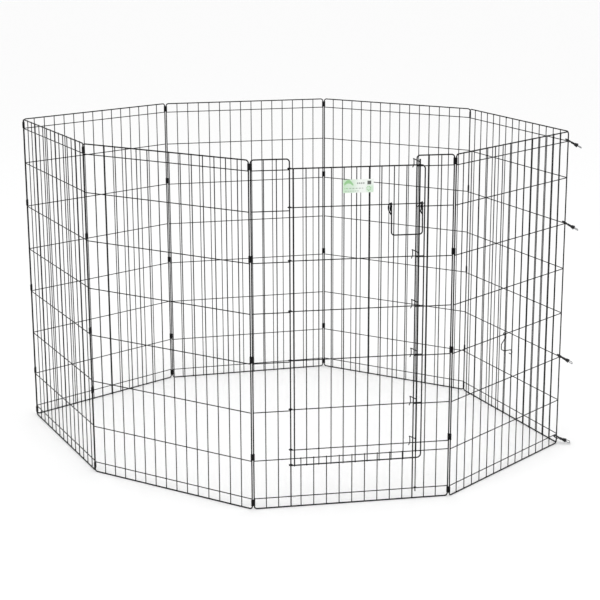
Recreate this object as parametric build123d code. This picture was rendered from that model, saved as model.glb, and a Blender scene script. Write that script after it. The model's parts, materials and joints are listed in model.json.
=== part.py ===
"""Eight-panel welded-wire pet playpen with a full-height walk-in door.

Millimetres, +Z up. The floor is z = 0 and the origin is the centre of the overall plan box.
Panels are numbered counter-clockwise, seen from above, from the corner that the bolt snaps close.
Panel 7 carries the door and faces -Y. Each panel is drawn in its own frame: local X runs along
the panel counter-clockwise round the pen, local Y points into the pen, and local X = 0 is its middle.
"""
from build123d import *
from math import cos, radians, sin
import os

os.makedirs("parts", exist_ok=True)

# Wire sizes
FRAME_D = 4.0            # outer frame of every panel and of the door
WIRE_D = 3.0             # inner wires
FRAME_R = FRAME_D / 2
WIRE_R = WIRE_D / 2
WELD_SINK = 0.2          # how far crossing wires melt into each other
BUTT_SINK = 1.0          # how far a butt-welded wire end goes into the frame wire

# Panel
PANEL_W = 598.5          # between the centre lines of the two side wires
PANEL_H = 1063.0         # between the centre lines of the top and bottom wires
BEND_R = 9.0             # centre-line radius of the frame's corners
END_STRIP = 31.5         # frame wire to the first inner wire, at the top and at the bottom
ROW_PITCH = 152.0        # spacing of the inner horizontal wires
ROWS = [ROW_PITCH * k for k in range(1, 7)]
LEVELS = [FRAME_R + z for z in [END_STRIP, *ROWS, PANEL_H - END_STRIP]]
TOP_Z = FRAME_R + PANEL_H
VERTICAL_COUNT = 14
VERTICAL_Y = FRAME_R + WIRE_R - WELD_SINK        # verticals lap the inner face of the frame
ROW_Y = VERTICAL_Y - WIRE_D + WELD_SINK          # rows lie behind them, inside the frame's plane
END_MARGIN = 0.6         # a vertical stops this far inside the frame's outer edge

# Plan: the turn at each corner from one panel's direction to the next panel's direction
TURNS = {"1_2": 35.5, "2_3": 42.53, "3_4": 29.15, "4_5": 76.19, "5_6": 31.08, "6_7": 39.56, "7_8": 37.94}
INWARD_FOLDS = ("2_3", "4_5", "6_7")     # these corners fold inner face to inner face, the others outer to outer
WIRE_GAP = 6.0           # between the centre lines of two neighbouring frame side wires
INWARD_CLIP = 45.0       # heading of a clip from its first wire, measured from the first panel's heading:
OUTWARD_CLIP = -30.0     # it leads the next panel to the side that the corner folds to

# Hinge clips
CLIP_H = 20.0
CLIP_T = 1.2
CLIP_FIT = 0.08          # radial clearance round each wire
CLIP_SEAM = 1.0
CLIP_LIFT = 13.0         # a middle clip's centre above the row it sits on
LOW_CLIP_DROP = 31.0     # corner 5_6: its fourth clip hangs below the row above
HIGH_CLIP_LIFT = 39.5    # corner 7_8: its fourth clip sits above the extra row of panel 7
CLIP_END_GAP = 0.4       # from the frame's bend to the first and last clip

# Doorway in panel 7
STRIP_W = 112.0          # panel side wire to the doorway's side wire
DOORWAY_X = PANEL_W / 2 - STRIP_W
STRIP_VERTICALS = 2
SILL_VERTICALS = 9
SILL_END_GAP = 31.0
SILL_Z = LEVELS[1]
EXTRA_ROW_Z = SILL_Z + 27.0

# Door, on the outside of panel 7
DOOR_LEFT_X = -DOORWAY_X + 10.0
DOOR_RIGHT_X = DOORWAY_X + 24.0
DOOR_LOOP_GAP = 0.3
DOOR_FRAME_Y = -(FRAME_R + DOOR_LOOP_GAP + FRAME_R)
DOOR_ROW_Y = DOOR_FRAME_Y - FRAME_R + WIRE_R
DOOR_VERTICAL_Y = DOOR_FRAME_Y - FRAME_R - WIRE_R + WELD_SINK
DOOR_EDGE_Y = DOOR_FRAME_Y - FRAME_R - FRAME_R + WELD_SINK
DOOR_TOP_Z = LEVELS[7] + 4.0
DOOR_BOTTOM_Z = SILL_Z - 19.5
DOOR_ROWS = [SILL_Z + 29.5, LEVELS[2] + 5.0, LEVELS[3] + 5.0, LEVELS[4] + 4.0, LEVELS[5] + 4.0,
             LEVELS[6] + 10.0]
DOOR_VERTICALS = 9
DOOR_PITCH = 37.0
DOOR_BEND_R = 12.0
LOOP_WRAP = 255.0        # how far a hinge loop goes round the doorway wire, in degrees

# Latch
ROD_D = 5.0
ROD_TAIL_D = 3.4
ROD_X = DOORWAY_X + 10.5
ROD_Y = ROW_Y + WIRE_R + 0.3 + ROD_D / 2
ROD_TOP_Z = DOOR_TOP_Z + 16.0
ROD_FOOT_Z = SILL_Z - 4.0
ROD_END_Z = LEVELS[0] - 12.5
HOOK_D = 3.0
HOOK_X = DOORWAY_X - 11.0
HOOK_ROOT = 7.0          # above the door wire that the hook holds
HOOK_RISE = 18.5
HOOK_DROP = 6.0
HOOK_TAIL = 4.0          # how far its free end slants away from the doorway wire
HOOK_BENDS = [6.0, 6.0, 3.0]
HOOK_FRONT_Y = DOOR_FRAME_Y - FRAME_R - 0.4 - HOOK_D / 2
LATCH_TRAVEL = 10.0
GUIDE_D = 2.5
GUIDE_GAP = 0.3

# Lift handle on the door's top inner row
HANDLE_D = 4.0
HANDLE_LEFT_X = 111.0
HANDLE_RIGHT_X = 203.5
HANDLE_Z = DOOR_ROWS[-1]
HANDLE_DROP = 91.0
HANDLE_BEND = 9.0
HANDLE_LOOP_GAP = 0.4
HANDLE_TILT = 2.0        # it rests against the door's verticals, leaning out by this angle
CATCH_D = 3.0
CATCH_DROP = 13.6        # the catch finger below the handle's pivot, just under the strip's row
CATCH_REACH = 9.5        # how far the finger reaches in past the pivot

# Label card
LABEL_W = 90.0
LABEL_H = 39.0
LABEL_T = 0.8
LABEL_X = 12.0
LABEL_Z = 982.0

# Bolt snaps at the closing corner: each one's height, and how far its outer end hangs down
SNAPS = [(22.0, 20.0), (LEVELS[2] + 2.2, 28.0), (LEVELS[5] + 2.2, 28.0), (LEVELS[7] + 2.2, 28.0)]
SNAP_RING_R = 9.2
SNAP_WIRE_D = 4.4
HOOK_START = 26.0        # the hook's arc, measured from the shank: its root beside the shank
HOOK_END = 308.0         # and its tip at the mouth
SHANK_R = 5.2
SHANK_X = 11.0           # the shank's free end, from the middle of the two held wires
SHANK_T = 6.0            # the shank is flat on its upper and lower side
CONE_X = 24.0            # where the shank widens to the collar
COLLAR_X = 30.0
COLLAR_R = 6.8
COLLAR_W = 4.4
COLLAR_EDGE = 1.0
BOLT_D = 3.4
BOLT_FIT = 0.08
BOLT_Y = -2.6
BOLT_TIP_X = 6.05        # the closed bolt's tip, in the hook's mouth
BOLT_END_X = 17.5
BOLT_TRAVEL = 6.0
THUMB_X = 15.6
THUMB_D = 2.0
THUMB_KNOB_R = 1.9
THUMB_RISE = 2.6         # the knob's centre beyond the shank
THUMB_SLOT_X = 14.0
THUMB_SLOT_W = 2.6
EYE_D = 2.6
EYE_W = 23.0
EYE_L = 12.0
EYE_BEND = 3.0
EYE_GAP = 1.5            # from the collar to the eye's near side
EYE_STEM_D = 4.0
EYE_HEAD_D = 6.4
EYE_HEAD_T = 2.2
EYE_HEAD_ROOM = 3.0      # the cavity for the stem's head, along the stem and across it

# Spare link hook hanging on a row of panel 8
LINK_D = 3.0
LINK_X = -25.0
LINK_ROW_Z = LEVELS[3]
LINK_LOOP_R = 4.6
LINK_BEND = 4.0
LINK_HANG = [(0, 0), (0, -8), (-23, -27), (-23, -44), (-8, -52), (28, -57), (39, -66), (31, -72), (20, -66)]

PANELS = range(1, 9)
CORNERS = list(TURNS)
DOOR_PANEL = 7
LINK_PANEL = 8


def unit(angle):
    return Vector(cos(radians(angle)), sin(radians(angle)), 0)


def clip_heading(corner):
    return INWARD_CLIP if corner in INWARD_FOLDS else OUTWARD_CLIP


def plan():
    """Heading and centre of every panel, walking counter-clockwise, with panel 7 facing -Y."""
    headings = {DOOR_PANEL: 0.0}
    for number in range(DOOR_PANEL - 1, 0, -1):
        headings[number] = headings[number + 1] - TURNS[f"{number}_{number + 1}"]
    headings[8] = headings[DOOR_PANEL] + TURNS["7_8"]
    starts = {1: Vector(0, 0, 0)}
    for number in range(1, 8):
        end = starts[number] + unit(headings[number]) * PANEL_W
        heading = headings[number] + clip_heading(f"{number}_{number + 1}")
        starts[number + 1] = end + unit(heading) * WIRE_GAP
    centres = {n: starts[n] + unit(headings[n]) * (PANEL_W / 2) for n in PANELS}
    return headings, centres


HEADINGS, CENTRES = plan()


def panel_location(number):
    return Location((CENTRES[number].X, CENTRES[number].Y, 0), (0, 0, HEADINGS[number]))


def rod(start, end, diameter):
    """A straight round wire between two points."""
    axis = Vector(*end) - Vector(*start)
    plane = Plane(origin=start, z_dir=axis)
    return extrude(plane * Circle(diameter / 2), amount=axis.length)


def bent(points, radii, diameter, close=False):
    """A round wire along straight runs with rounded bends."""
    path = FilletPolyline(*points, radius=radii, close=close)
    return sweep((path ^ 0) * Circle(diameter / 2), path=path)


def joined(edges, diameter):
    """A round wire along edges that meet end to end."""
    path = Wire(edges)
    return sweep((path ^ 0) * Circle(diameter / 2), path=path)


def vertical_wire(x, y, low, high, diameter=WIRE_D):
    return Pos(x, y, low) * Cylinder(
        diameter / 2, high - low, align=(Align.CENTER, Align.CENTER, Align.MIN))


def row_wire(left, right, y, z, diameter=WIRE_D):
    return Pos(left, y, z) * Rot(0, 90, 0) * Cylinder(
        diameter / 2, right - left, align=(Align.CENTER, Align.CENTER, Align.MIN))


def rectangle_frame():
    """Closed frame wire of a plain panel."""
    half = PANEL_W / 2
    corners = [(-half, 0, FRAME_R), (half, 0, FRAME_R), (half, 0, TOP_Z), (-half, 0, TOP_Z)]
    return bent(corners, BEND_R, FRAME_D, close=True)


def plain_verticals():
    pitch = PANEL_W / (VERTICAL_COUNT + 1)
    low = END_MARGIN
    high = TOP_Z + FRAME_R - END_MARGIN
    return [vertical_wire(-PANEL_W / 2 + pitch * k, VERTICAL_Y, low, high)
            for k in range(1, VERTICAL_COUNT + 1)]


def plain_rows():
    reach = PANEL_W / 2 - FRAME_R + BUTT_SINK
    return [row_wire(-reach, reach, ROW_Y, z) for z in LEVELS]


def door_panel_frame():
    """Frame wire of panel 7: its top is open, and both ends turn down beside the doorway."""
    half = PANEL_W / 2
    foot = SILL_Z
    outline = [(-DOORWAY_X, 0, foot), (-DOORWAY_X, 0, TOP_Z), (-half, 0, TOP_Z), (-half, 0, FRAME_R),
               (half, 0, FRAME_R), (half, 0, TOP_Z), (DOORWAY_X, 0, TOP_Z), (DOORWAY_X, 0, foot)]
    frame = bent(outline, BEND_R, FRAME_D)
    for x in (-DOORWAY_X, DOORWAY_X):
        frame += vertical_wire(x, 0, FRAME_R, foot, FRAME_D)
    return frame


def strip_verticals(side):
    """Inner verticals of the strip on one side of the doorway: -1 is its hinge side, 1 its latch side."""
    low = END_MARGIN
    high = TOP_Z + FRAME_R - END_MARGIN
    pitch = STRIP_W / (STRIP_VERTICALS + 1)
    return [vertical_wire(side * (DOORWAY_X + pitch * k), VERTICAL_Y, low, high)
            for k in range(1, STRIP_VERTICALS + 1)]


def door_panel_sill_verticals():
    first = -DOORWAY_X + SILL_END_GAP
    pitch = 2 * (DOORWAY_X - SILL_END_GAP) / (SILL_VERTICALS - 1)
    high = SILL_Z + WIRE_R - WELD_SINK
    return [vertical_wire(first + pitch * k, VERTICAL_Y, END_MARGIN, high)
            for k in range(SILL_VERTICALS)]


def strip_rows(side, heights):
    outer = side * (PANEL_W / 2 - FRAME_R + BUTT_SINK)
    inner = side * (DOORWAY_X + FRAME_R - BUTT_SINK)
    return [row_wire(min(inner, outer), max(inner, outer), ROW_Y, z) for z in heights]


def door_panel_sill_rows():
    reach = DOORWAY_X - FRAME_R + BUTT_SINK
    return [row_wire(-reach, reach, ROW_Y, z) for z in (LEVELS[0], SILL_Z)]


def hinge_loop(y, z):
    """Arc round the doorway's left wire, from its open end to the point where the row leaves it."""
    centre = Vector(-DOORWAY_X, 0, z)
    plane = Plane(origin=centre, x_dir=(1, 0, 0), z_dir=(0, 0, 1))
    return Edge.make_circle(abs(y), plane, start_angle=270 - LOOP_WRAP, end_angle=270)


def door_rows():
    rows = []
    for z in DOOR_ROWS:
        loop = hinge_loop(DOOR_ROW_Y, z)
        run = Edge.make_line((-DOORWAY_X, DOOR_ROW_Y, z),
                             (DOOR_RIGHT_X - FRAME_R + BUTT_SINK, DOOR_ROW_Y, z))
        rows.append(joined([loop, run], WIRE_D))
    return rows


def door_frame():
    """Top, closing side and bottom of the door: one wire with a hinge loop at each end."""
    y = DOOR_FRAME_Y
    bends = FilletPolyline((-DOORWAY_X, y, DOOR_TOP_Z), (DOOR_RIGHT_X, y, DOOR_TOP_Z),
                           (DOOR_RIGHT_X, y, DOOR_BOTTOM_Z), (-DOORWAY_X, y, DOOR_BOTTOM_Z),
                           radius=DOOR_BEND_R)
    path = [hinge_loop(y, DOOR_TOP_Z), *bends.edges(), hinge_loop(y, DOOR_BOTTOM_Z)]
    return joined(path, FRAME_D)


def door_verticals():
    low = DOOR_BOTTOM_Z - FRAME_R + END_MARGIN
    high = DOOR_TOP_Z + FRAME_R - END_MARGIN
    return [vertical_wire(DOOR_LEFT_X + DOOR_PITCH * k, DOOR_VERTICAL_Y, low, high)
            for k in range(1, DOOR_VERTICALS + 1)]


def door_edge():
    low = DOOR_BOTTOM_Z - FRAME_R + END_MARGIN
    high = DOOR_TOP_Z + FRAME_R - END_MARGIN
    return vertical_wire(DOOR_LEFT_X, DOOR_EDGE_Y, low, high, FRAME_D)


def latch_rod():
    """Rod on the inner side of the strip: thick above the sill, thin below it."""
    upper = vertical_wire(ROD_X, ROD_Y, ROD_FOOT_Z, ROD_TOP_Z, ROD_D)
    tail = vertical_wire(ROD_X, ROD_Y, ROD_END_Z, ROD_FOOT_Z + 1, ROD_TAIL_D)
    upper = chamfer(upper.edges().group_by(Axis.Z)[-1], 0.8)
    return upper + tail


def latch_hook(row_z):
    """From the rod, behind the doorway wire, out through the doorway and down over a door wire."""
    root_z = row_z + HOOK_ROOT
    apex_z = row_z + HOOK_RISE
    points = [(ROD_X, ROD_Y, root_z), (HOOK_X, ROD_Y, apex_z), (HOOK_X, HOOK_FRONT_Y, apex_z),
              (HOOK_X, HOOK_FRONT_Y, row_z + FRAME_R), (HOOK_X - HOOK_TAIL, HOOK_FRONT_Y, row_z - HOOK_DROP)]
    return bent(points, HOOK_BENDS, HOOK_D)


def latch_hooks():
    held = [DOOR_TOP_Z, *DOOR_ROWS[:-1]]
    return [latch_hook(z) for z in held]


def rod_guides():
    """Staples round the rod, welded by both ends to rows of the strip."""
    guides = []
    for z, size in ((LEVELS[6], ROD_D), (LEVELS[3], ROD_D), (LEVELS[0], ROD_TAIL_D)):
        half = size / 2 + GUIDE_GAP + GUIDE_D / 2
        back = ROD_Y + half
        front = ROW_Y + WIRE_R - WELD_SINK
        points = [(ROD_X - half, front, z), (ROD_X - half, back, z), (ROD_X + half, back, z),
                  (ROD_X + half, front, z)]
        guides.append(bent(points, half * 0.9, GUIDE_D))
    return guides


def handle():
    """Drop handle: a U with an eye round the row at each end and a catch under the strip's row."""
    radius = WIRE_R + HANDLE_LOOP_GAP + HANDLE_D / 2
    arm_y = -radius
    eyes = []
    for x in (HANDLE_LEFT_X, HANDLE_RIGHT_X):
        plane = Plane(origin=(x, 0, 0), x_dir=(0, 1, 0), z_dir=(1, 0, 0))
        eyes.append(Edge.make_circle(radius, plane, start_angle=-70, end_angle=180))
    bar = FilletPolyline((HANDLE_LEFT_X, arm_y, 0), (HANDLE_LEFT_X, arm_y, -HANDLE_DROP),
                         (HANDLE_RIGHT_X, arm_y, -HANDLE_DROP), (HANDLE_RIGHT_X, arm_y, 0),
                         radius=HANDLE_BEND)
    body = joined([eyes[0], *bar.edges(), eyes[1]], HANDLE_D)
    catch_end = (HANDLE_RIGHT_X, CATCH_REACH, -CATCH_DROP)
    body += rod((HANDLE_RIGHT_X, arm_y, -CATCH_DROP), catch_end, CATCH_D)
    return Pos(0, DOOR_ROW_Y, HANDLE_Z) * Rot(-HANDLE_TILT, 0, 0) * body


def label_card():
    y = DOOR_VERTICAL_Y - WIRE_R - LABEL_T / 2 + WELD_SINK / 2
    card = Pos(LABEL_X, y, LABEL_Z) * Box(LABEL_W, LABEL_T, LABEL_H)
    return fillet(card.edges().filter_by(Axis.Y), 3.0)


def clip():
    """Sheet band round two wires, seamed in the middle of its inner side."""
    outer = SlotCenterToCenter(WIRE_GAP, 2 * (FRAME_R + CLIP_FIT + CLIP_T))
    inner = SlotCenterToCenter(WIRE_GAP, 2 * (FRAME_R + CLIP_FIT))
    seam = Pos(0, FRAME_R + CLIP_T / 2) * Rectangle(CLIP_SEAM, CLIP_T * 2)
    return extrude(outer - inner - seam, amount=CLIP_H / 2, both=True)


def clip_heights(corner):
    end = FRAME_R + BEND_R + CLIP_H / 2 + CLIP_END_GAP
    heights = [end, LEVELS[1] + CLIP_LIFT, LEVELS[3] + CLIP_LIFT, LEVELS[5] + CLIP_LIFT,
               TOP_Z + FRAME_R - end]
    if corner == "5_6":
        heights[1] = LEVELS[2] - LOW_CLIP_DROP
    if corner == "7_8":
        heights[1] = LEVELS[1] + HIGH_CLIP_LIFT
    return heights


def corner_location(corner):
    """Middle between the two wires at a corner; local X runs from the first wire to the second."""
    first = int(corner[0])
    end = CENTRES[first] + unit(HEADINGS[first]) * (PANEL_W / 2)
    heading = HEADINGS[first] + clip_heading(corner)
    middle = end + unit(heading) * (WIRE_GAP / 2)
    return Location((middle.X, middle.Y, 0), (0, 0, heading))


def hinge_clips(corner):
    place = corner_location(corner)
    return [place * Pos(0, 0, z) * clip() for z in clip_heights(corner)]


def closing_location(z, droop):
    """Middle of the two loose side wires; local X points out of the pen and down."""
    last_end = CENTRES[8] + unit(HEADINGS[8]) * (PANEL_W / 2)
    first_start = CENTRES[1] - unit(HEADINGS[1]) * (PANEL_W / 2)
    middle = (last_end + first_start) * 0.5
    heading = (HEADINGS[8] + HEADINGS[1] + 360) / 2 - 90
    return Location((middle.X, middle.Y, z), (0, 0, heading)) * Location((0, 0, 0), (0, droop, 0))


def snap_body():
    """Hook, flat shank, cone and swivel collar, along local X away from the wires."""
    arc = Edge.make_circle(SNAP_RING_R, start_angle=HOOK_START, end_angle=HOOK_END)
    root = arc @ 0
    hook = joined([arc], SNAP_WIRE_D) + Pos(*root) * Sphere(SNAP_WIRE_D / 2)
    hook += rod(tuple(root), (SHANK_X + 5, 1.6, 0), SNAP_WIRE_D)
    hook -= rod((0, BOLT_Y, 0), (SHANK_X + 1, BOLT_Y, 0), BOLT_D + 0.8)
    collar_end = COLLAR_X + COLLAR_W
    profile = Polyline((SHANK_X, 0), (SHANK_X, SHANK_R - COLLAR_EDGE), (SHANK_X + COLLAR_EDGE, SHANK_R),
                       (CONE_X, SHANK_R), (COLLAR_X, COLLAR_R - COLLAR_EDGE),
                       (COLLAR_X + COLLAR_EDGE, COLLAR_R), (collar_end - COLLAR_EDGE, COLLAR_R),
                       (collar_end, COLLAR_R - COLLAR_EDGE), (collar_end, 0), close=True)
    barrel = revolve(make_face(profile), axis=Axis.X)
    for side in (-1, 1):
        barrel -= Pos((SHANK_X + CONE_X) / 2, 0, side * (SHANK_T / 2 + SHANK_R)) * Box(
            CONE_X - SHANK_X, 4 * SHANK_R, 2 * SHANK_R)
    bore = rod((SHANK_X - 1, BOLT_Y, 0), (CONE_X, BOLT_Y, 0), BOLT_D + 2 * BOLT_FIT)
    slot = Pos((THUMB_SLOT_X + CONE_X) / 2, BOLT_Y - SHANK_R / 2, 0) * Box(
        CONE_X - THUMB_SLOT_X, SHANK_R, THUMB_SLOT_W)
    stem_hole = rod((COLLAR_X - EYE_HEAD_ROOM, 0, 0), (collar_end + 1, 0, 0), EYE_STEM_D + 2 * BOLT_FIT)
    head_room = rod((COLLAR_X - EYE_HEAD_ROOM, 0, 0), (COLLAR_X, 0, 0), EYE_STEM_D + EYE_HEAD_ROOM)
    return hook + barrel - bore - slot - stem_hole - head_room


def snap_bolt():
    """Sliding pin that closes the hook's mouth, with its thumb knob."""
    pin = rod((BOLT_TIP_X, BOLT_Y, 0), (BOLT_END_X, BOLT_Y, 0), BOLT_D)
    knob_y = -SHANK_R - THUMB_RISE
    post = rod((THUMB_X, BOLT_Y, 0), (THUMB_X, knob_y, 0), THUMB_D)
    return pin + post + Pos(THUMB_X, knob_y, 0) * Sphere(THUMB_KNOB_R)


def snap_eye():
    """Swivel eye: a squared loop on a headed stem."""
    start = COLLAR_X + COLLAR_W + EYE_GAP
    half = (EYE_W - EYE_D) / 2
    loop = bent([(start, -half, 0), (start, half, 0), (start + EYE_L, half, 0),
                 (start + EYE_L, -half, 0)], EYE_BEND, EYE_D, close=True)
    head_end = COLLAR_X - (EYE_HEAD_ROOM - EYE_HEAD_T) / 2
    stem = rod((head_end - EYE_HEAD_T / 2, 0, 0), (start, 0, 0), EYE_STEM_D)
    head = rod((head_end - EYE_HEAD_T, 0, 0), (head_end, 0, 0), EYE_HEAD_D)
    return loop + stem + head


def link_hook():
    """Loose S-shaped wire link hanging on a row, with an upturned end."""
    loop = Edge.make_circle(LINK_LOOP_R, Plane(origin=(0, 0, 0), x_dir=(0, 1, 0), z_dir=(1, 0, 0)),
                            start_angle=-60, end_angle=180)
    down = FilletPolyline(*[(x, -LINK_LOOP_R, z) for x, z in LINK_HANG], radius=LINK_BEND)
    body = joined([loop, *down.edges()], LINK_D)
    return Pos(LINK_X, ROW_Y, LINK_ROW_Z) * body


def build():
    nodes = {}
    for number in PANELS:
        place = panel_location(number)
        name = f"panel_{number}"
        if number == DOOR_PANEL:
            pieces = {"frame": [door_panel_frame()],
                      "hinge_side_verticals": strip_verticals(-1),
                      "hinge_side_rows": strip_rows(-1, LEVELS),
                      "latch_side_verticals": strip_verticals(1),
                      "latch_side_rows": strip_rows(1, [*LEVELS, EXTRA_ROW_Z]),
                      "sill_verticals": door_panel_sill_verticals(),
                      "sill_rows": door_panel_sill_rows(), "rod_guides": rod_guides()}
        else:
            pieces = {"frame": [rectangle_frame()], "verticals": plain_verticals(),
                      "rows": plain_rows()}
        for piece, solids in pieces.items():
            nodes[f"{name}_{piece}"] = [place * solid for solid in solids]
    place = panel_location(DOOR_PANEL)
    nodes["door_frame"] = [place * door_frame()]
    nodes["door_hinge_edge"] = [place * door_edge()]
    nodes["door_rows"] = [place * solid for solid in door_rows()]
    nodes["door_verticals"] = [place * solid for solid in door_verticals()]
    nodes["door_label"] = [place * label_card()]
    nodes["latch_rod"] = [place * latch_rod()]
    nodes["latch_hooks"] = [place * solid for solid in latch_hooks()]
    nodes["door_handle"] = [place * handle()]
    for corner in CORNERS:
        nodes[f"hinge_clips_{corner}"] = hinge_clips(corner)
    for index, (z, droop) in enumerate(SNAPS, start=1):
        snap_place = closing_location(z, droop)
        nodes[f"snap_{index}_hook"] = [snap_place * snap_body()]
        nodes[f"snap_{index}_bolt"] = [snap_place * snap_bolt()]
        nodes[f"snap_{index}_eye"] = [snap_place * snap_eye()]
    nodes["link_hook"] = [panel_location(LINK_PANEL) * link_hook()]
    return nodes


NODES = build()
solids = [s for group in NODES.values() for item in group for s in item.solids()]
overall = Compound(solids).bounding_box()
SHIFT = Vector(-(overall.min.X + overall.max.X) / 2, -(overall.min.Y + overall.max.Y) / 2, 0)

for node, group in NODES.items():
    moved = [Pos(*SHIFT) * s for item in group for s in item.solids()]
    export_step(moved[0] if len(moved) == 1 else Compound(moved), f"parts/{node}.step")
print(len(NODES), "nodes; shift", SHIFT, "; size", overall.size)
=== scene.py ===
"""Looks of the folding wire pet playpen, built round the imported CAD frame. Metres, +Z up."""
import json
import math

import bmesh
import bpy
from mathutils import Matrix, Vector


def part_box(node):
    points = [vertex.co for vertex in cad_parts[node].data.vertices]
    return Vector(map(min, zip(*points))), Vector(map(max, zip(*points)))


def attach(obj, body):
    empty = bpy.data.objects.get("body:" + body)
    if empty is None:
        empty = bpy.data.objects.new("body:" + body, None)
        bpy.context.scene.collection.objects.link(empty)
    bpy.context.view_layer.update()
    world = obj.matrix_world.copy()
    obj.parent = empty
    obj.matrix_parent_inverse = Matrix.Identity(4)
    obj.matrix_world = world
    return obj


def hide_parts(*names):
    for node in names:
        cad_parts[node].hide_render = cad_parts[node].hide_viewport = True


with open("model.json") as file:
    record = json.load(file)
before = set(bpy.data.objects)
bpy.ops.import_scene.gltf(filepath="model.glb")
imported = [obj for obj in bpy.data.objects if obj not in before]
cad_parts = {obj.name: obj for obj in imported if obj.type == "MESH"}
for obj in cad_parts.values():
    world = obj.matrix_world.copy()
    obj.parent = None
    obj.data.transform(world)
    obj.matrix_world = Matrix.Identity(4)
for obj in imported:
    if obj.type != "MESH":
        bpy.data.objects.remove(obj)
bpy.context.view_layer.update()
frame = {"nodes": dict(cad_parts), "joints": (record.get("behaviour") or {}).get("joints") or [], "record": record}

NODES = frame["nodes"]
RECORD = frame["record"]
SLOT_OF = {part["node"]: part["material_slot"] for part in RECORD["subparts"]}
BODY_OF = {node: body for body, members in RECORD["behaviour"]["bodies"].items() for node in members}
MM = 0.001
PLAIN_PANELS = [n for n in range(1, 9) if n != 7]

# Camera, placed from the middle of the door panel
CAMERA_OFFSET = Vector((-0.76715, -3.88518))
CAMERA_HEIGHT = 1.7338
CAMERA_YAW = math.radians(9.803)
CAMERA_PITCH = math.radians(-12.946)
CAMERA_LENS = 83.645
CAMERA_SENSOR = 36.0
CAMERA_SHIFT = (-0.0348, -0.1018)

# Studio
FLOOR_SIZE = 60.0
WORLD_LIGHT = 1.0
FLOOR_COLOUR = (0.97, 0.97, 0.97, 1)
SOFTBOXES = [("key", (-2.5, -3.0, 4.2), 3.0, 40), ("fill", (3.0, -1.5, 3.6), 3.0, 20)]
SOFTBOX_AIM = Vector((0, 0, 0.5))

# Radius of the frame wires, and the distance under which mesh points are the same
FRAME_R = 2.0 * MM
SAME_POINT = 0.001 * MM

# Weld nuggets
NUGGET_SPREAD = 2.1 * MM
NUGGET_DEPTH = 1.7 * MM
NUGGET_SEGMENTS = 8
NUGGET_RINGS = 6

# Hinge clips
CLIP_REACH = 3.0 * MM        # from the clip's middle to the axis of each wire it holds
CLIP_BORE = 2.1 * MM
CLIP_T = 1.2 * MM
CLIP_WAIST = 0.5             # share of the bore's radius pinched away between the wires
CLIP_SEAM = 0.9 * MM
CLIP_EDGE = 0.3 * MM
CLIP_SIDE_STEPS = 10
CLIP_END_STEPS = 12

# Label card
CARD_T = 0.35 * MM
CARD_GAP = 0.1 * MM
CARD_CORNER = 3.0 * MM
CARD_BOW = 0.3 * MM
CARD_COLUMNS = 180
CARD_ROWS = 78
PRINT_GREEN = Vector((0.47, 0.68, 0.45))
PRINT_PALE = Vector((0.6, 0.74, 0.6))
PRINT_WHITE = Vector((0.8, 0.84, 0.8))
PRINT_LEAF = Vector((0.16, 0.46, 0.12))
PRINT_INK = Vector((0.02, 0.025, 0.02))
PRINT_GREY = Vector((0.2, 0.26, 0.2))

# Corner angles sharper than this stay crisp, in degrees
SHEET_CREASE = 40
WIRE_CREASE = 60

# Wrapped ends of the lift handle's wire; each place is from the row, in millimetres
WRAP_D = 4.0 * MM
WRAP_SIDES = 12
WRAP_STEPS_BETWEEN = 6
WRAP_END = 0.55              # share of the wire's radius at its rounded ends
WRAP_STEPS = [(-1, -5.4, -31), (-4.6, -5.6, -24), (-9.0, -5.4, -15), (-9.6, -5.2, -6), (-6.4, -4.6, 1.5),
              (-2.4, -4.6, 2.6), (-3.4, -5.0, -5), (-4.0, -5.2, -12), (-2.4, -5.2, -20)]

# ---------------------------------------------------------------- materials

def new_material(name):
    material = bpy.data.materials.new(name)
    material.use_nodes = True
    tree = material.node_tree
    shader = tree.nodes["Principled BSDF"]
    place = tree.nodes.new("ShaderNodeTexCoord").outputs["Object"]
    return material, tree, shader, place


def noise(tree, place, scale, detail=4.0, rough=0.55):
    node = tree.nodes.new("ShaderNodeTexNoise")
    node.inputs["Scale"].default_value = scale
    node.inputs["Detail"].default_value = detail
    node.inputs["Roughness"].default_value = rough
    tree.links.new(place, node.inputs["Vector"])
    return node.outputs["Fac"]


def ramp(tree, value, stops):
    node = tree.nodes.new("ShaderNodeValToRGB")
    elements = node.color_ramp.elements
    while len(elements) < len(stops):
        elements.new(0.5)
    for element, (position, colour) in zip(elements, stops):
        element.position = position
        element.color = (*colour, 1)
    tree.links.new(value, node.inputs["Fac"])
    return node.outputs["Color"]


def spread(tree, value, low, high, start=0.3, end=0.7):
    node = tree.nodes.new("ShaderNodeMapRange")
    node.inputs["From Min"].default_value = start
    node.inputs["From Max"].default_value = end
    node.inputs["To Min"].default_value = low
    node.inputs["To Max"].default_value = high
    tree.links.new(value, node.inputs["Value"])
    return node.outputs["Result"]


def bump(tree, shader, height, strength, distance):
    node = tree.nodes.new("ShaderNodeBump")
    node.inputs["Strength"].default_value = strength
    node.inputs["Distance"].default_value = distance
    tree.links.new(height, node.inputs["Height"])
    tree.links.new(node.outputs["Normal"], shader.inputs["Normal"])


def mix_colour(tree, factor, first, second):
    node = tree.nodes.new("ShaderNodeMix")
    node.data_type = "RGBA"
    tree.links.new(factor, node.inputs["Factor"])
    for socket, value in ((node.inputs[6], first), (node.inputs[7], second)):
        if isinstance(value, tuple):
            socket.default_value = (*value, 1)
        else:
            tree.links.new(value, socket)
    return node.outputs[2]


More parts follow.
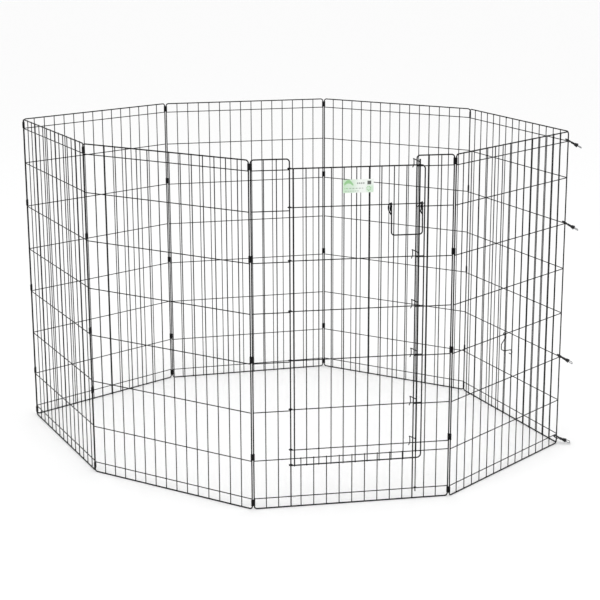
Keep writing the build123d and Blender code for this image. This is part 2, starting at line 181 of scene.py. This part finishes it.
def coated_wire(name="coated_wire", dark=(0.0025, 0.0025, 0.003), light=(0.008, 0.008, 0.009), scuffs=0.0):
    """Black coat on drawn wire: satin and faintly orange-peeled, rubbed here and there if asked."""
    material, tree, shader, place = new_material(name)
    mottle = noise(tree, place, 60.0)
    colour = ramp(tree, mottle, [(0.35, dark), (0.7, light)])
    if scuffs:
        rub = spread(tree, noise(tree, place, 420.0, 6.0, 0.7), 0.0, scuffs, 0.62, 0.72)
        colour = mix_colour(tree, rub, colour, (0.06, 0.06, 0.063))
    tree.links.new(colour, shader.inputs["Base Color"])
    tree.links.new(spread(tree, noise(tree, place, 240.0), 0.3, 0.46), shader.inputs["Roughness"])
    shader.inputs["Specular IOR Level"].default_value = 0.1
    bump(tree, shader, noise(tree, place, 900.0, 3.0), 0.12, 0.0002)
    return material


def cast_metal():
    """Dark plated die casting of the bolt snaps, a little rubbed on the high spots."""
    material, tree, shader, place = new_material("snap_casting")
    grain = noise(tree, place, 700.0, 5.0, 0.65)
    colour = ramp(tree, grain, [(0.4, (0.008, 0.008, 0.009)), (0.72, (0.03, 0.03, 0.032))])
    tree.links.new(colour, shader.inputs["Base Color"])
    shader.inputs["Metallic"].default_value = 0.4
    shader.inputs["Specular IOR Level"].default_value = 0.3
    tree.links.new(spread(tree, grain, 0.3, 0.5), shader.inputs["Roughness"])
    bump(tree, shader, grain, 0.2, 0.0002)
    return material


def plated_steel():
    """Dull zinc plating with a fine grain."""
    material, tree, shader, place = new_material("snap_eye_plating")
    grain = noise(tree, place, 900.0, 4.0)
    colour = ramp(tree, grain, [(0.35, (0.2, 0.2, 0.21)), (0.7, (0.34, 0.35, 0.36))])
    tree.links.new(colour, shader.inputs["Base Color"])
    shader.inputs["Metallic"].default_value = 0.85
    tree.links.new(spread(tree, grain, 0.32, 0.5), shader.inputs["Roughness"])
    bump(tree, shader, grain, 0.12, 0.0001)
    return material


def printed_card():
    """Laminated card: its print is the colour stored in the mesh, under a slightly uneven film."""
    material, tree, shader, place = new_material("printed_card")
    print_layer = tree.nodes.new("ShaderNodeVertexColor")
    print_layer.layer_name = "print"
    fibre = ramp(tree, noise(tree, place, 1400.0, 3.0), [(0.3, (0.93, 0.93, 0.93)), (0.7, (1, 1, 1))])
    blend = tree.nodes.new("ShaderNodeMix")
    blend.data_type = "RGBA"
    blend.blend_type = "MULTIPLY"
    blend.inputs["Factor"].default_value = 1.0
    tree.links.new(print_layer.outputs["Color"], blend.inputs[6])
    tree.links.new(fibre, blend.inputs[7])
    tree.links.new(blend.outputs[2], shader.inputs["Base Color"])
    tree.links.new(spread(tree, noise(tree, place, 300.0), 0.32, 0.45), shader.inputs["Roughness"])
    shader.inputs["Specular IOR Level"].default_value = 0.4
    bump(tree, shader, noise(tree, place, 500.0), 0.05, 0.0001)
    return material


MATERIALS = {
    "coated_wire": coated_wire(),
    "clip_metal": coated_wire("clip_coating", scuffs=0.35),
    "snap_metal": cast_metal(),
    "snap_eye_metal": plated_steel(),
    "label_card": printed_card(),
}


def dress_cad_nodes():
    for name, piece in NODES.items():
        material = MATERIALS[SLOT_OF[name]]
        if not piece.material_slots:
            piece.data.materials.append(material)
        for holder in piece.material_slots:
            holder.material = material


# ---------------------------------------------------------------- reading the frame

def frame_joint(name):
    return next(joint for joint in frame["joints"] if joint["name"] == name)


def solids_of(node):
    """Point lists of the separate solids in a CAD node."""
    shape = bmesh.new()
    shape.from_mesh(NODES[node].data)
    bmesh.ops.remove_doubles(shape, verts=shape.verts, dist=SAME_POINT)
    seen = set()
    groups = []
    for start in shape.verts:
        if start in seen:
            continue
        seen.add(start)
        stack = [start]
        points = []
        while stack:
            vert = stack.pop()
            points.append(vert.co.copy())
            for edge in vert.link_edges:
                other = edge.other_vert(vert)
                if other not in seen:
                    seen.add(other)
                    stack.append(other)
        groups.append(points)
    shape.free()
    return groups


def middle(points):
    low = Vector([min(p[k] for p in points) for k in range(3)])
    high = Vector([max(p[k] for p in points) for k in range(3)])
    return (low + high) / 2, low, high


def upright_wires(node):
    """Plan place, lowest height and highest height of every vertical wire of a node."""
    wires = []
    for points in solids_of(node):
        centre, low, high = middle(points)
        wires.append((Vector((centre.x, centre.y)), low.z, high.z))
    return wires


def level_wires(node):
    """Two plan ends and the height of every horizontal wire of a node."""
    wires = []
    for points in solids_of(node):
        centre, low, high = middle(points)
        far = max(points, key=lambda p: (p.xy - centre.xy).length)
        along = (far.xy - centre.xy).normalized()
        reach = max((p.xy - centre.xy).dot(along) for p in points)
        wires.append((centre.xy - along * reach, centre.xy + along * reach, centre.z))
    return wires


# ---------------------------------------------------------------- mesh helpers

def add_piece(name, shape, material, body, crease=None):
    mesh = bpy.data.meshes.new(name)
    shape.normal_update()
    shape.to_mesh(mesh)
    shape.free()
    mesh.materials.append(material)
    mesh.shade_smooth()
    if crease:
        mesh.set_sharp_from_angle(angle=math.radians(crease))
    piece = bpy.data.objects.new(name, mesh)
    bpy.context.scene.collection.objects.link(piece)
    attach(piece, body)
    return piece


def nugget(shape, place, along):
    """Flattened bead of weld where two wires cross; along is the row's direction in plan."""
    across = Vector((-along.y, along.x, 0))
    turn = Matrix((Vector((along.x, along.y, 0)), across, Vector((0, 0, 1)))).transposed().to_4x4()
    size = Matrix.Diagonal((NUGGET_SPREAD, NUGGET_DEPTH, NUGGET_SPREAD, 1))
    bmesh.ops.create_uvsphere(shape, u_segments=NUGGET_SEGMENTS, v_segments=NUGGET_RINGS, radius=1.0,
                              matrix=Matrix.Translation(place) @ turn @ size)


def weld_beads(body, uprights, levels, name):
    """Weld beads of one panel or door at every crossing of its verticals and rows."""
    shape = bmesh.new()
    for start, end, z in levels:
        along = (end - start).normalized()
        length = (end - start).length
        for place, low, high in uprights:
            distance = (place - start).dot(along)
            if low < z < high and -FRAME_R < distance < length + FRAME_R:
                foot = start + along * distance
                inner = (foot + place) / 2
                nugget(shape, Vector((inner.x, inner.y, z)), along)
    return add_piece(name, shape, MATERIALS["coated_wire"], body)


def with_rims(levels, node, top=True):
    """The rows of a grid, and the frame's bottom and top wires, which its verticals are welded to."""
    low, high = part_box(node)
    start, end, _ = levels[0]
    rims = [low[2] + FRAME_R, high[2] - FRAME_R] if top else [low[2] + FRAME_R]
    return levels + [(start, end, z) for z in rims]


def panel_beads():
    for number in PLAIN_PANELS:
        levels = with_rims(level_wires(f"panel_{number}_rows"), f"panel_{number}_frame")
        weld_beads(f"panel_{number}", upright_wires(f"panel_{number}_verticals"), levels,
                   f"panel_{number}_weld_beads")
    for part in ("hinge_side", "latch_side", "sill"):
        levels = with_rims(level_wires(f"panel_7_{part}_rows"), "panel_7_frame", top=part != "sill")
        weld_beads("panel_7", upright_wires(f"panel_7_{part}_verticals"), levels,
                   f"panel_7_{part}_weld_beads")
    levels = with_rims(level_wires("door_rows"), "door_frame")
    weld_beads("door", upright_wires("door_verticals"), levels, "door_weld_beads")


# ---------------------------------------------------------------- hinge clips

def clip_half_width(along):
    """Half the bore's width at a place along the clip, pinched between the two wires."""
    return CLIP_BORE * (1 - CLIP_WAIST * math.cos(math.pi * along / (2 * CLIP_REACH)) ** 2)


def clip_outline():
    """Bore outline from one side of the seam, all round, to the other side: points and outward directions."""
    points = []
    for step in range(CLIP_SIDE_STEPS + 1):
        along = CLIP_SEAM / 2 + (CLIP_REACH - CLIP_SEAM / 2) * step / CLIP_SIDE_STEPS
        points.append((Vector((along, clip_half_width(along))), Vector((0, 1))))
    for step in range(1, CLIP_END_STEPS):
        angle = math.pi / 2 - math.pi * step / CLIP_END_STEPS
        out = Vector((math.cos(angle), math.sin(angle)))
        points.append((Vector((CLIP_REACH, 0)) + out * CLIP_BORE, out))
    for step in range(CLIP_SIDE_STEPS + 1):
        along = CLIP_REACH * (1 - step / CLIP_SIDE_STEPS)
        points.append((Vector((along, -clip_half_width(along))), Vector((0, -1))))
    mirrored = [(Vector((-p.x, p.y)), Vector((-n.x, n.y))) for p, n in reversed(points[:-1])]
    return points + mirrored


def clip_band(shape, centre, along, inward, low, high):
    """Rolled sheet band round two wires, with eased edges."""
    levels = [(low, CLIP_EDGE), (low + CLIP_EDGE, 0), (high - CLIP_EDGE, 0), (high, CLIP_EDGE)]
    rings = []
    for z, ease in levels:
        ring = []
        for point, out in clip_outline():
            for depth in (ease, CLIP_T - ease):
                flat = point + out * depth
                place = centre + along * flat.x + inward * flat.y
                ring.append(shape.verts.new((place.x, place.y, z)))
        rings.append(ring)
    count = len(rings[0]) // 2
    for lower, upper in zip(rings, rings[1:]):
        for k in range(count - 1):
            shape.faces.new((lower[2 * k + 1], lower[2 * k + 3], upper[2 * k + 3], upper[2 * k + 1]))
            shape.faces.new((lower[2 * k + 2], lower[2 * k], upper[2 * k], upper[2 * k + 2]))
        for k in (0, 2 * count - 2):
            shape.faces.new((lower[k], lower[k + 1], upper[k + 1], upper[k]))
    for ring in (rings[0], rings[-1]):
        for k in range(count - 1):
            shape.faces.new((ring[2 * k], ring[2 * k + 1], ring[2 * k + 3], ring[2 * k + 2]))


def hinge_clips():
    for node in [name for name in NODES if name.startswith("hinge_clips_")]:
        shape = bmesh.new()
        for points in solids_of(node):
            centre, low, high = middle(points)
            far = max(points, key=lambda p: (p.xy - centre.xy).length)
            along = (far.xy - centre.xy).normalized()
            inward = Vector((-along.y, along.x))
            if inward.dot(centre.xy) > 0:
                along, inward = -along, -inward
            clip_band(shape, centre.xy, along, inward, low.z, high.z)
        bmesh.ops.recalc_face_normals(shape, faces=shape.faces)
        piece = add_piece(node.replace("hinge_clips", "rolled_clips"), shape, MATERIALS["clip_metal"],
                          BODY_OF[node], crease=SHEET_CREASE)
        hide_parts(node)


# ---------------------------------------------------------------- label card

def soft_step(value, edge, width):
    share = min(max((value - edge) / width + 0.5, 0.0), 1.0)
    return share * share * (3 - 2 * share)


def band(value, centre, half, soft=0.02):
    return soft_step(value, centre - half, soft) * (1 - soft_step(value, centre + half, soft))


def print_colour(u, v):
    """Plain decoration with no lettering: green fields, a leaf, a square, bars and a ring of dots."""
    colour = PRINT_PALE.lerp(PRINT_WHITE, soft_step(u, 0.42, 0.3))
    colour = colour.lerp(PRINT_PALE, soft_step(u, 0.78, 0.15) * (1 - soft_step(v, 0.55, 0.3)))
    colour = colour.lerp(PRINT_GREEN, 0.5 * (1 - soft_step(u, 0.12, 0.2)))
    stroke = 0.6 + 0.25 * math.sin(math.pi * (u - 0.03) / 0.3) * (1 if u < 0.33 else 0.3)
    leaf = band(v, stroke, 0.05 + 0.09 * math.sin(math.pi * min(u / 0.36, 1.0)), 0.06) * band(u, 0.19, 0.15)
    colour = colour.lerp(PRINT_LEAF, 0.7 * leaf)
    ink = band(v, 0.71, 0.055, 0.04) * band(u, 0.585, 0.13) * (0.55 + 0.45 * math.sin(95 * u))
    colour = colour.lerp(PRINT_INK, 0.85 * ink)
    mark = max(abs(u - 0.86) / 0.062, abs(v - 0.74) / 0.14)
    colour = colour.lerp(PRINT_INK, 0.9 * (1 - soft_step(mark, 1, 0.2)))
    bar = band(v, 0.33, 0.035, 0.03) * band(u, 0.35, 0.31) * (0.6 + 0.4 * math.sin(60 * u))
    colour = colour.lerp(PRINT_LEAF if u < 0.17 else PRINT_GREY, 0.75 * bar)
    bar = band(v, 0.13, 0.03, 0.03) * band(u, 0.28, 0.24) * (0.6 + 0.4 * math.sin(80 * u))
    colour = colour.lerp(PRINT_GREY, 0.6 * bar)
    ring = abs(math.hypot((u - 0.84) * 2.3, v - 0.3) - 0.14)
    turn = math.atan2(v - 0.3, (u - 0.84) * 2.3)
    dots = (1 - soft_step(ring, 0.045, 0.03)) * soft_step(math.sin(7 * turn), -0.2, 0.6)
    return colour.lerp(PRINT_LEAF, 0.7 * dots)


def card_edge_inset(v, height):
    """How far the rounded corners pull the card's side in at a height."""
    from_end = min(v, 1 - v) * height
    if from_end >= CARD_CORNER:
        return 0.0
    rise = CARD_CORNER - from_end
    return CARD_CORNER - math.sqrt(max(CARD_CORNER ** 2 - rise ** 2, 0.0))


def card_rim(grid):
    """The grid's outer points in order round the card."""
    right = [line[-1] for line in grid[1:]]
    left = [line[0] for line in grid[-2:0:-1]]
    return grid[0] + right + grid[-1][-2::-1] + left


def label_card():
    """Bowed card with rounded corners; its print is a colour on every point of the front."""
    low, high = (Vector(corner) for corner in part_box("door_label"))
    width, height = high.x - low.x, high.z - low.z
    back = high.y - CARD_GAP
    shape = bmesh.new()
    layer = shape.verts.layers.float_color.new("print")
    sheets = []
    for depth in (CARD_T, 0.0):
        grid = []
        for row in range(CARD_ROWS + 1):
            v = row / CARD_ROWS
            inset = card_edge_inset(v, height)
            line = []
            for column in range(CARD_COLUMNS + 1):
                u = column / CARD_COLUMNS
                bow = CARD_BOW * math.sin(math.pi * u) * (0.6 + 0.4 * math.sin(math.pi * v))
                place = (low.x + inset + (width - 2 * inset) * u, back - depth - bow, low.z + height * v)
                vert = shape.verts.new(place)
                colour = print_colour(u, v) if depth else PRINT_WHITE
                vert[layer] = (*colour, 1)
                line.append(vert)
            grid.append(line)
        sheets.append(grid)
    for grid in sheets:
        for upper, lower in zip(grid[1:], grid):
            for k in range(CARD_COLUMNS):
                shape.faces.new((lower[k], lower[k + 1], upper[k + 1], upper[k]))
    front, rear = (card_rim(grid) for grid in sheets)
    for k in range(len(front)):
        shape.faces.new((front[k - 1], front[k], rear[k], rear[k - 1]))
    bmesh.ops.recalc_face_normals(shape, faces=shape.faces)
    piece = add_piece("label_card", shape, MATERIALS["label_card"], "door", crease=SHEET_CREASE)
    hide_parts("door_label")


# ---------------------------------------------------------------- handle ends

def tube(shape, points, radius, sides):
    """Closed round wire through points, with rounded ends."""
    rings = []
    for k, point in enumerate(points):
        ahead = points[min(k + 1, len(points) - 1)] - points[max(k - 1, 0)]
        ahead.normalize()
        side = ahead.orthogonal().normalized() if not rings else (side - ahead * side.dot(ahead)).normalized()
        up = ahead.cross(side)
        size = radius * (WRAP_END if k in (0, len(points) - 1) else 1.0)
        turns = [2 * math.pi * n / sides for n in range(sides)]
        rings.append([shape.verts.new(point + (side * math.cos(a) + up * math.sin(a)) * size) for a in turns])
    for first, second in zip(rings, rings[1:]):
        for n in range(sides):
            shape.faces.new((first[n - 1], first[n], second[n], second[n - 1]))
    shape.faces.new(rings[0][::-1])
    shape.faces.new(rings[-1])


def smooth_route(points, steps):
    """Catmull-Rom curve through points."""
    ends = [points[0] * 2 - points[1], *points, points[-1] * 2 - points[-2]]
    route = []
    for a, b, c, d in zip(ends, ends[1:], ends[2:], ends[3:]):
        for step in range(steps):
            t = step / steps
            route.append(0.5 * (2 * b + (c - a) * t + (2 * a - 5 * b + 4 * c - d) * t ** 2
                                + (3 * b - a - 3 * c + d) * t ** 3))
    return route + [points[-1]]


def handle_wraps():
    """The wire's ends: each loops up past the row beside its eye and comes back down to the arm."""
    low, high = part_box("door_handle")
    _, row_y, row_z = frame_joint("handle_flip")["pos_m"]
    for name, x in (("left", low[0] + FRAME_R), ("right", high[0] - FRAME_R)):
        shape = bmesh.new()
        points = [Vector((x, row_y, row_z)) + Vector(step) * MM for step in WRAP_STEPS]
        tube(shape, smooth_route(points, WRAP_STEPS_BETWEEN), WRAP_D / 2, WRAP_SIDES)
        bmesh.ops.recalc_face_normals(shape, faces=shape.faces)
        add_piece(f"handle_wrap_{name}", shape, MATERIALS["coated_wire"], "handle",
                  crease=WIRE_CREASE)


# ---------------------------------------------------------------- stage

def studio():
    mesh = bpy.data.meshes.new("floor")
    half = FLOOR_SIZE / 2
    mesh.from_pydata([(-half, -half, 0), (half, -half, 0), (half, half, 0), (-half, half, 0)], [],
                     [(0, 1, 2, 3)])
    floor = bpy.data.objects.new("floor", mesh)
    bpy.context.scene.collection.objects.link(floor)
    material = bpy.data.materials.new("floor_paper")
    material.use_nodes = True
    shader = material.node_tree.nodes["Principled BSDF"]
    shader.inputs["Base Color"].default_value = FLOOR_COLOUR
    shader.inputs["Roughness"].default_value = 0.9
    shader.inputs["Specular IOR Level"].default_value = 0.1
    mesh.materials.append(material)
    world = bpy.data.worlds.new("studio")
    world.use_nodes = True
    world.node_tree.nodes["Background"].inputs["Color"].default_value = (1, 1, 1, 1)
    world.node_tree.nodes["Background"].inputs["Strength"].default_value = WORLD_LIGHT
    bpy.context.scene.world = world
    for name, place, size, power in SOFTBOXES:
        light = bpy.data.lights.new(name, "AREA")
        light.size = size
        light.energy = power
        lamp = bpy.data.objects.new(name, light)
        lamp.location = place
        lamp.rotation_euler = (SOFTBOX_AIM - Vector(place)).to_track_quat("-Z", "Y").to_euler()
        bpy.context.scene.collection.objects.link(lamp)
    bpy.context.scene.view_settings.view_transform = "Standard"


def camera():
    data = bpy.data.cameras.new("camera")
    data.lens = CAMERA_LENS
    data.sensor_width = CAMERA_SENSOR
    data.shift_x, data.shift_y = CAMERA_SHIFT
    data.clip_end = 100
    eye = bpy.data.objects.new("camera", data)
    low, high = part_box("panel_7_frame")
    eye.location = ((low[0] + high[0]) / 2 + CAMERA_OFFSET.x, (low[1] + high[1]) / 2 + CAMERA_OFFSET.y,
                    CAMERA_HEIGHT)
    eye.rotation_euler = (math.pi / 2 + CAMERA_PITCH, 0, -CAMERA_YAW)
    bpy.context.scene.collection.objects.link(eye)
    bpy.context.scene.camera = eye


dress_cad_nodes()
panel_beads()
hinge_clips()
label_card()
handle_wraps()
studio()
camera()
